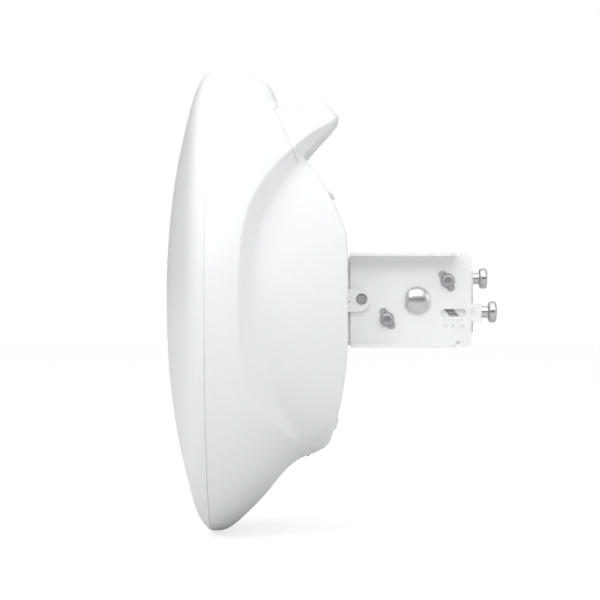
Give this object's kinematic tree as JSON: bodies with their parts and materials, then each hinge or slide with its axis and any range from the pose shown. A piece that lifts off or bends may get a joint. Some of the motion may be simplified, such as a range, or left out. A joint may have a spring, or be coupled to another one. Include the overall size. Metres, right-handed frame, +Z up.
{
  "type": "outdoor wireless bridge",
  "caption": "Outdoor point-to-point wireless bridge: domed dish under a smooth shell with a rear hood, on a two-axis sheet bracket with knob-headed adjusting screws.",
  "frame": {"origin": "centre of the pole plate's bolt pattern, on its rear face", "axes": "+X points from the dish to the pole, the dish looks along -X, +Z is up, +Y completes the right-handed set"},
  "size_m": [0.2917, 0.4132, 0.4138],
  "materials": {
    "moulded_white": "satin",
    "radome_white": "satin",
    "black_rubber": "matte",
    "grey_plastic": "matte",
    "dark_plastic": "matte",
    "lens_plastic": "satin",
    "board": "satin",
    "pad": "matte",
    "ceramic": "matte",
    "stainless": "satin",
    "tinned_steel": "satin",
    "zinc": "satin",
    "polished_steel": "polished",
    "spun_aluminium": "satin",
    "cast_aluminium": "cast",
    "brass_nut": "satin",
    "white_paint": "powder coat"
  },
  "bodies": {
    "pole_side": {"pole_plate": "white_paint"},
    "yoke_body": {"yoke": "white_paint", "pivot_pins": "polished_steel", "lock_bolts": "zinc", "lock_washers": "zinc", "lock_nuts": "zinc", "azimuth_bolts": "zinc", "azimuth_nuts": "zinc"},
    "dish_body": {"radome": "radome_white", "radome_gasket": "black_rubber", "main_housing": "moulded_white", "bay_liner": "moulded_white", "hood": "moulded_white", "reflector": "spun_aluminium", "reflector_screws": "stainless", "feed_tube": "spun_aluminium", "feed_lens": "lens_plastic", "sub_reflector": "spun_aluminium", "chassis": "cast_aluminium", "radio_module": "cast_aluminium", "main_board": "board", "port_board": "board", "thermal_pad": "pad", "shield_cans": "tinned_steel", "gnss_antenna": "ceramic", "antenna_bracket": "grey_plastic", "ethernet_jack": "tinned_steel", "sfp_cage": "tinned_steel", "reset_switch": "dark_plastic", "rear_cover": "moulded_white", "rear_cover_gasket": "black_rubber", "rear_cover_screws": "stainless", "cable_grommet": "black_rubber", "breather_vent": "grey_plastic", "dish_plate": "white_paint", "dish_plate_screws": "zinc", "outer_bracket": "white_paint", "bracket_studs": "zinc", "ground_screw": "zinc"},
    "elevation_nut": {"elevation_trunnion": "brass_nut"},
    "elevation_knob": {"elevation_screw": "polished_steel"},
    "azimuth_nut": {"azimuth_trunnion": "brass_nut"},
    "azimuth_knob": {"azimuth_screw": "polished_steel"},
    "door": {"port_door": "moulded_white", "door_latch": "moulded_white"},
    "button": {"reset_button": "dark_plastic"}
  },
  "joints": [
    {"name": "azimuth_swing", "type": "hinge", "parent": "pole_side", "child": "yoke_body", "pos_m": [-0.025, 0, 0], "axis": [0, 0, 1], "range_deg": [-10, 10]},
    {"name": "elevation_tilt", "type": "hinge", "parent": "yoke_body", "child": "dish_body", "pos_m": [-0.0509, 0, 0], "axis": [0, 1, 0], "range_deg": [-12, 12]},
    {"name": "elevation_nut_turn", "type": "hinge", "parent": "yoke_body", "child": "elevation_nut", "pos_m": [-0.0509, -0.042, -0.0103], "axis": [0, 1, 0], "range_deg": [-12.5, 12.5]},
    {"name": "elevation_screw_turn", "type": "hinge", "parent": "elevation_nut", "child": "elevation_knob", "pos_m": [0, -0.042, -0.0103], "axis": [1, 0, 0], "range_deg": [-540, 540]},
    {"name": "azimuth_nut_turn", "type": "hinge", "parent": "yoke_body", "child": "azimuth_nut", "pos_m": [-0.025, 0.04, 0.0199], "axis": [0, 0, 1], "range_deg": [-10.5, 10.5]},
    {"name": "azimuth_screw_turn", "type": "hinge", "parent": "azimuth_nut", "child": "azimuth_knob", "pos_m": [0, 0.04, 0.0199], "axis": [1, 0, 0], "range_deg": [-1700, 1700]},
    {"name": "door_slide", "type": "slide", "parent": "dish_body", "child": "door", "axis": [0, 0, -1], "range_m": [0, 0.08]},
    {"name": "button_press", "type": "slide", "parent": "dish_body", "child": "button", "axis": [0, 0, 1], "range_m": [0, 0.0006], "stiffness_N_per_m": 300, "springref_m": -0.0004}
  ],
  "couplings": [
    {"joint": "elevation_nut_turn", "follows": "elevation_tilt", "ratio": 1},
    {"joint": "elevation_screw_turn", "follows": "elevation_tilt", "ratio": 43.145},
    {"joint": "azimuth_nut_turn", "follows": "azimuth_swing", "ratio": -1},
    {"joint": "azimuth_screw_turn", "follows": "azimuth_swing", "ratio": 167.55}
  ]
}
